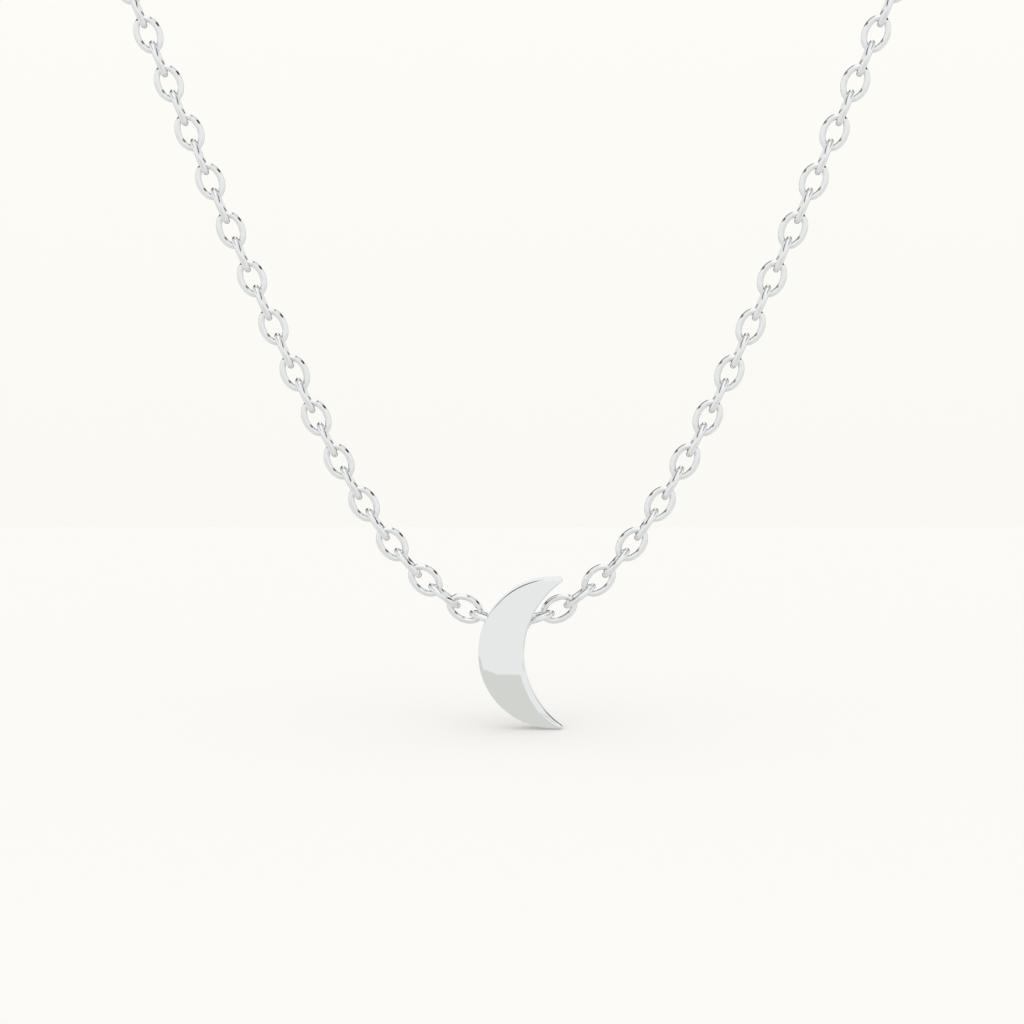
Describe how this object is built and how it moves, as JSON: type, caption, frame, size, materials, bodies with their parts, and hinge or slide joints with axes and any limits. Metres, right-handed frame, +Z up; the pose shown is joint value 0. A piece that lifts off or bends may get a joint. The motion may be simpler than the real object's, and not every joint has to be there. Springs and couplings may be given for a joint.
{
  "type": "pendant necklace",
  "caption": "Pendant necklace: a solid crescent moon on a bail, hung from a fine cable chain with a spring ring clasp, modelled as worn round a neck.",
  "frame": {"origin": "middle of the clasp ring, where the chain rests on the nape of the neck", "axes": "+Z up when worn, -Y the way the wearer faces, +X to the right of a person who faces the wearer"},
  "size_m": [0.1054, 0.092, 0.1211],
  "materials": {
    "chain_silver": "polished, rhodium plated",
    "moon_silver": "mirror polished, rhodium plated",
    "clasp_silver": "polished, rhodium plated",
    "spring_steel": "bright drawn wire"
  },
  "bodies": {
    "necklace_runs": {"left_run": "chain_silver", "right_run": "chain_silver"},
    "moon": {"moon_body": "moon_silver", "bail_staple": "moon_silver"},
    "clasp": {"clasp_tube": "clasp_silver", "clasp_spring": "spring_steel", "clasp_eyelet": "clasp_silver", "clasp_jump_ring": "clasp_silver"},
    "clasp_trigger": {"clasp_trigger": "clasp_silver"},
    "end_ring": {"end_ring": "clasp_silver"},
    "center_link": {"center_link": "chain_silver"},
    "left_link_24": {"left_link_24": "chain_silver"},
    "left_link_23": {"left_link_23": "chain_silver"},
    "left_link_22": {"left_link_22": "chain_silver"},
    "left_link_21": {"left_link_21": "chain_silver"},
    "left_link_20": {"left_link_20": "chain_silver"},
    "left_link_19": {"left_link_19": "chain_silver"},
    "left_link_18": {"left_link_18": "chain_silver"},
    "left_link_17": {"left_link_17": "chain_silver"},
    "left_link_16": {"left_link_16": "chain_silver"},
    "left_link_15": {"left_link_15": "chain_silver"},
    "left_link_14": {"left_link_14": "chain_silver"},
    "left_link_13": {"left_link_13": "chain_silver"},
    "left_link_12": {"left_link_12": "chain_silver"},
    "left_link_11": {"left_link_11": "chain_silver"},
    "left_link_10": {"left_link_10": "chain_silver"},
    "left_link_09": {"left_link_09": "chain_silver"},
    "left_link_08": {"left_link_08": "chain_silver"},
    "left_link_07": {"left_link_07": "chain_silver"},
    "left_link_06": {"left_link_06": "chain_silver"},
    "left_link_05": {"left_link_05": "chain_silver"},
    "left_link_04": {"left_link_04": "chain_silver"},
    "left_link_03": {"left_link_03": "chain_silver"},
    "left_link_02": {"left_link_02": "chain_silver"},
    "left_link_01": {"left_link_01": "chain_silver"},
    "right_link_24": {"right_link_24": "chain_silver"},
    "right_link_23": {"right_link_23": "chain_silver"},
    "right_link_22": {"right_link_22": "chain_silver"},
    "right_link_21": {"right_link_21": "chain_silver"},
    "right_link_20": {"right_link_20": "chain_silver"},
    "right_link_19": {"right_link_19": "chain_silver"},
    "right_link_18": {"right_link_18": "chain_silver"},
    "right_link_17": {"right_link_17": "chain_silver"},
    "right_link_16": {"right_link_16": "chain_silver"},
    "right_link_15": {"right_link_15": "chain_silver"},
    "right_link_14": {"right_link_14": "chain_silver"},
    "right_link_13": {"right_link_13": "chain_silver"},
    "right_link_12": {"right_link_12": "chain_silver"},
    "right_link_11": {"right_link_11": "chain_silver"},
    "right_link_10": {"right_link_10": "chain_silver"},
    "right_link_09": {"right_link_09": "chain_silver"},
    "right_link_08": {"right_link_08": "chain_silver"},
    "right_link_07": {"right_link_07": "chain_silver"},
    "right_link_06": {"right_link_06": "chain_silver"},
    "right_link_05": {"right_link_05": "chain_silver"},
    "right_link_04": {"right_link_04": "chain_silver"},
    "right_link_03": {"right_link_03": "chain_silver"},
    "right_link_02": {"right_link_02": "chain_silver"},
    "right_link_01": {"right_link_01": "chain_silver"}
  },
  "joints": [
    {"name": "bail_swing", "type": "hinge", "parent": "center_link", "child": "moon", "pos_m": [0, -0.088, -0.11259], "axis": [1, 0, 0], "range_deg": [0, 40]},
    {"name": "center_link_twist", "type": "hinge", "parent": "left_link_01", "child": "center_link", "pos_m": [-0.00085, -0.088, -0.11315], "axis": [1, 0, 0], "range_deg": [-10, 10]},
    {"name": "clasp_swivel", "type": "hinge", "parent": "necklace_runs", "child": "clasp", "pos_m": [0, 0, 0], "axis": [1, 0, 0], "range_deg": [-15, 15]},
    {"name": "clasp_trigger_pull", "type": "hinge", "parent": "clasp", "child": "clasp_trigger", "pos_m": [0, 0, 0], "axis": [0, 1, 0], "range_deg": [0, 50], "stiffness_Nm_per_rad": 0.002, "springref_deg": -20.05, "deforming": ["clasp_spring"]},
    {"name": "end_ring_swivel", "type": "hinge", "parent": "necklace_runs", "child": "end_ring", "pos_m": [-0.004, 0, 0], "axis": [1, 0, 0], "range_deg": [-15, 15]},
    {"name": "link_swing_01", "type": "hinge", "parent": "left_link_02", "child": "left_link_01", "pos_m": [-0.00169, -0.088, -0.11287], "axis": [-1, 0, 0], "range_deg": [-18, 18]},
    {"name": "right_link_swing_01", "type": "hinge", "parent": "right_link_02", "child": "right_link_01", "pos_m": [0.00169, -0.088, -0.11287], "axis": [-1, 0, 0], "range_deg": [-18, 18]},
    {"name": "link_swing_02", "type": "hinge", "parent": "left_link_03", "child": "left_link_02", "pos_m": [-0.00319, -0.088, -0.11207], "axis": [1, 0, 0], "range_deg": [-18, 18]},
    {"name": "right_link_swing_02", "type": "hinge", "parent": "right_link_03", "child": "right_link_02", "pos_m": [0.00319, -0.088, -0.11207], "axis": [1, 0, 0], "range_deg": [-18, 18]},
    {"name": "link_swing_03", "type": "hinge", "parent": "left_link_04", "child": "left_link_03", "pos_m": [-0.00389, -0.088, -0.11155], "axis": [-1, 0, 0], "range_deg": [-26, 26]},
    {"name": "right_link_swing_03", "type": "hinge", "parent": "right_link_04", "child": "right_link_03", "pos_m": [0.00389, -0.088, -0.11155], "axis": [-1, 0, 0], "range_deg": [-26, 26]},
    {"name": "link_swing_04", "type": "hinge", "parent": "left_link_05", "child": "left_link_04", "pos_m": [-0.00513, -0.088, -0.11039], "axis": [1, 0, 0], "range_deg": [-26, 26]},
    {"name": "right_link_swing_04", "type": "hinge", "parent": "right_link_05", "child": "right_link_04", "pos_m": [0.00513, -0.088, -0.11039], "axis": [1, 0, 0], "range_deg": [-26, 26]},
    {"name": "link_swing_05", "type": "hinge", "parent": "left_link_06", "child": "left_link_05", "pos_m": [-0.00571, -0.088, -0.10974], "axis": [-1, 0, 0], "range_deg": [-34, 34]},
    {"name": "right_link_swing_05", "type": "hinge", "parent": "right_link_06", "child": "right_link_05", "pos_m": [0.00571, -0.088, -0.10974], "axis": [-1, 0, 0], "range_deg": [-34, 34]},
    {"name": "link_swing_06", "type": "hinge", "parent": "left_link_07", "child": "left_link_06", "pos_m": [-0.00675, -0.088, -0.10839], "axis": [1, 0, 0], "range_deg": [-34, 34]},
    {"name": "right_link_swing_06", "type": "hinge", "parent": "right_link_07", "child": "right_link_06", "pos_m": [0.00675, -0.088, -0.10839], "axis": [1, 0, 0], "range_deg": [-34, 34]},
    {"name": "link_swing_07", "type": "hinge", "parent": "left_link_08", "child": "left_link_07", "pos_m": [-0.00724, -0.088, -0.10767], "axis": [-1, 0, 0], "range_deg": [-38, 38]},
    {"name": "right_link_swing_07", "type": "hinge", "parent": "right_link_08", "child": "right_link_07", "pos_m": [0.00724, -0.088, -0.10767], "axis": [-1, 0, 0], "range_deg": [-38, 38]},
    {"name": "link_swing_08", "type": "hinge", "parent": "left_link_09", "child": "left_link_08", "pos_m": [-0.00813, -0.088, -0.10623], "axis": [1, 0, 0], "range_deg": [-38, 38]},
    {"name": "right_link_swing_08", "type": "hinge", "parent": "right_link_09", "child": "right_link_08", "pos_m": [0.00813, -0.088, -0.10623], "axis": [1, 0, 0], "range_deg": [-38, 38]},
    {"name": "link_swing_09", "type": "hinge", "parent": "left_link_10", "child": "left_link_09", "pos_m": [-0.00857, -0.088, -0.10547], "axis": [-1, 0, 0], "range_deg": [-45, 45]},
    {"name": "right_link_swing_09", "type": "hinge", "parent": "right_link_10", "child": "right_link_09", "pos_m": [0.00857, -0.088, -0.10547], "axis": [-1, 0, 0], "range_deg": [-45, 45]},
    {"name": "link_swing_10", "type": "hinge", "parent": "left_link_11", "child": "left_link_10", "pos_m": [-0.00937, -0.088, -0.10397], "axis": [1, 0, 0], "range_deg": [-45, 45]},
    {"name": "right_link_swing_10", "type": "hinge", "parent": "right_link_11", "child": "right_link_10", "pos_m": [0.00937, -0.088, -0.10397], "axis": [1, 0, 0], "range_deg": [-45, 45]},
    {"name": "link_swing_11", "type": "hinge", "parent": "left_link_12", "child": "left_link_11", "pos_m": [-0.00977, -0.088, -0.1032], "axis": [-1, 0, 0], "range_deg": [-45, 45]},
    {"name": "right_link_swing_11", "type": "hinge", "parent": "right_link_12", "child": "right_link_11", "pos_m": [0.00977, -0.088, -0.1032], "axis": [-1, 0, 0], "range_deg": [-45, 45]},
    {"name": "link_swing_12", "type": "hinge", "parent": "left_link_13", "child": "left_link_12", "pos_m": [-0.01052, -0.088, -0.10167], "axis": [1, 0, 0], "range_deg": [-45, 45]},
    {"name": "right_link_swing_12", "type": "hinge", "parent": "right_link_13", "child": "right_link_12", "pos_m": [0.01052, -0.088, -0.10167], "axis": [1, 0, 0], "range_deg": [-45, 45]},
    {"name": "link_swing_13", "type": "hinge", "parent": "left_link_14", "child": "left_link_13", "pos_m": [-0.01089, -0.088, -0.10089], "axis": [-1, 0, 0], "range_deg": [-45, 45]},
    {"name": "right_link_swing_13", "type": "hinge", "parent": "right_link_14", "child": "right_link_13", "pos_m": [0.01089, -0.088, -0.10089], "axis": [-1, 0, 0], "range_deg": [-45, 45]},
    {"name": "link_swing_14", "type": "hinge", "parent": "left_link_15", "child": "left_link_14", "pos_m": [-0.0116, -0.088, -0.09934], "axis": [1, 0, 0], "range_deg": [-45, 45]},
    {"name": "right_link_swing_14", "type": "hinge", "parent": "right_link_15", "child": "right_link_14", "pos_m": [0.0116, -0.088, -0.09934], "axis": [1, 0, 0], "range_deg": [-45, 45]},
    {"name": "link_swing_15", "type": "hinge", "parent": "left_link_16", "child": "left_link_15", "pos_m": [-0.01198, -0.088, -0.09848], "axis": [-1, 0, 0], "range_deg": [-45, 45]},
    {"name": "right_link_swing_15", "type": "hinge", "parent": "right_link_16", "child": "right_link_15", "pos_m": [0.01198, -0.088, -0.09848], "axis": [-1, 0, 0], "range_deg": [-45, 45]},
    {"name": "link_swing_16", "type": "hinge", "parent": "left_link_17", "child": "left_link_16", "pos_m": [-0.01267, -0.088, -0.09692], "axis": [1, 0, 0], "range_deg": [-45, 45]},
    {"name": "right_link_swing_16", "type": "hinge", "parent": "right_link_17", "child": "right_link_16", "pos_m": [0.01267, -0.088, -0.09692], "axis": [1, 0, 0], "range_deg": [-45, 45]},
    {"name": "link_swing_17", "type": "hinge", "parent": "left_link_18", "child": "left_link_17", "pos_m": [-0.01307, -0.088, -0.09599], "axis": [-1, 0, 0], "range_deg": [-45, 45]},
    {"name": "right_link_swing_17", "type": "hinge", "parent": "right_link_18", "child": "right_link_17", "pos_m": [0.01307, -0.088, -0.09599], "axis": [-1, 0, 0], "range_deg": [-45, 45]},
    {"name": "link_swing_18", "type": "hinge", "parent": "left_link_19", "child": "left_link_18", "pos_m": [-0.01374, -0.088, -0.09442], "axis": [1, 0, 0], "range_deg": [-45, 45]},
    {"name": "right_link_swing_18", "type": "hinge", "parent": "right_link_19", "child": "right_link_18", "pos_m": [0.01374, -0.088, -0.09442], "axis": [1, 0, 0], "range_deg": [-45, 45]},
    {"name": "link_swing_19", "type": "hinge", "parent": "left_link_20", "child": "left_link_19", "pos_m": [-0.01414, -0.088, -0.09348], "axis": [-1, 0, 0], "range_deg": [-45, 45]},
    {"name": "right_link_swing_19", "type": "hinge", "parent": "right_link_20", "child": "right_link_19", "pos_m": [0.01414, -0.088, -0.09348], "axis": [-1, 0, 0], "range_deg": [-45, 45]},
    {"name": "link_swing_20", "type": "hinge", "parent": "left_link_21", "child": "left_link_20", "pos_m": [-0.0148, -0.088, -0.09192], "axis": [1, 0, 0], "range_deg": [-45, 45]},
    {"name": "right_link_swing_20", "type": "hinge", "parent": "right_link_21", "child": "right_link_20", "pos_m": [0.0148, -0.088, -0.09192], "axis": [1, 0, 0], "range_deg": [-45, 45]},
    {"name": "link_swing_21", "type": "hinge", "parent": "left_link_22", "child": "left_link_21", "pos_m": [-0.01519, -0.088, -0.09098], "axis": [-1, 0, 0], "range_deg": [-45, 45]},
    {"name": "right_link_swing_21", "type": "hinge", "parent": "right_link_22", "child": "right_link_21", "pos_m": [0.01519, -0.088, -0.09098], "axis": [-1, 0, 0], "range_deg": [-45, 45]},
    {"name": "link_swing_22", "type": "hinge", "parent": "left_link_23", "child": "left_link_22", "pos_m": [-0.01584, -0.088, -0.0894], "axis": [1, 0, 0], "range_deg": [-45, 45]},
    {"name": "right_link_swing_22", "type": "hinge", "parent": "right_link_23", "child": "right_link_22", "pos_m": [0.01584, -0.088, -0.0894], "axis": [1, 0, 0], "range_deg": [-45, 45]},
    {"name": "link_swing_23", "type": "hinge", "parent": "left_link_24", "child": "left_link_23", "pos_m": [-0.01623, -0.088, -0.08846], "axis": [-1, 0, 0], "range_deg": [-45, 45]},
    {"name": "right_link_swing_23", "type": "hinge", "parent": "right_link_24", "child": "right_link_23", "pos_m": [0.01623, -0.088, -0.08846], "axis": [-1, 0, 0], "range_deg": [-45, 45]},
    {"name": "link_swing_24", "type": "hinge", "parent": "necklace_runs", "child": "left_link_24", "pos_m": [-0.01688, -0.088, -0.08689], "axis": [1, 0, 0], "range_deg": [-45, 45]},
    {"name": "right_link_swing_24", "type": "hinge", "parent": "necklace_runs", "child": "right_link_24", "pos_m": [0.01688, -0.088, -0.08689], "axis": [1, 0, 0], "range_deg": [-45, 45]}
  ],
  "couplings": [
    {"joint": "right_link_swing_01", "follows": "link_swing_01", "ratio": 1},
    {"joint": "right_link_swing_02", "follows": "link_swing_02", "ratio": 1},
    {"joint": "right_link_swing_03", "follows": "link_swing_03", "ratio": 1},
    {"joint": "right_link_swing_04", "follows": "link_swing_04", "ratio": 1},
    {"joint": "right_link_swing_05", "follows": "link_swing_05", "ratio": 1},
    {"joint": "right_link_swing_06", "follows": "link_swing_06", "ratio": 1},
    {"joint": "right_link_swing_07", "follows": "link_swing_07", "ratio": 1},
    {"joint": "right_link_swing_08", "follows": "link_swing_08", "ratio": 1},
    {"joint": "right_link_swing_09", "follows": "link_swing_09", "ratio": 1},
    {"joint": "right_link_swing_10", "follows": "link_swing_10", "ratio": 1},
    {"joint": "right_link_swing_11", "follows": "link_swing_11", "ratio": 1},
    {"joint": "right_link_swing_12", "follows": "link_swing_12", "ratio": 1},
    {"joint": "right_link_swing_13", "follows": "link_swing_13", "ratio": 1},
    {"joint": "right_link_swing_14", "follows": "link_swing_14", "ratio": 1},
    {"joint": "right_link_swing_15", "follows": "link_swing_15", "ratio": 1},
    {"joint": "right_link_swing_16", "follows": "link_swing_16", "ratio": 1},
    {"joint": "right_link_swing_17", "follows": "link_swing_17", "ratio": 1},
    {"joint": "right_link_swing_18", "follows": "link_swing_18", "ratio": 1},
    {"joint": "right_link_swing_19", "follows": "link_swing_19", "ratio": 1},
    {"joint": "right_link_swing_20", "follows": "link_swing_20", "ratio": 1},
    {"joint": "right_link_swing_21", "follows": "link_swing_21", "ratio": 1},
    {"joint": "right_link_swing_22", "follows": "link_swing_22", "ratio": 1},
    {"joint": "right_link_swing_23", "follows": "link_swing_23", "ratio": 1},
    {"joint": "right_link_swing_24", "follows": "link_swing_24", "ratio": 1}
  ]
}
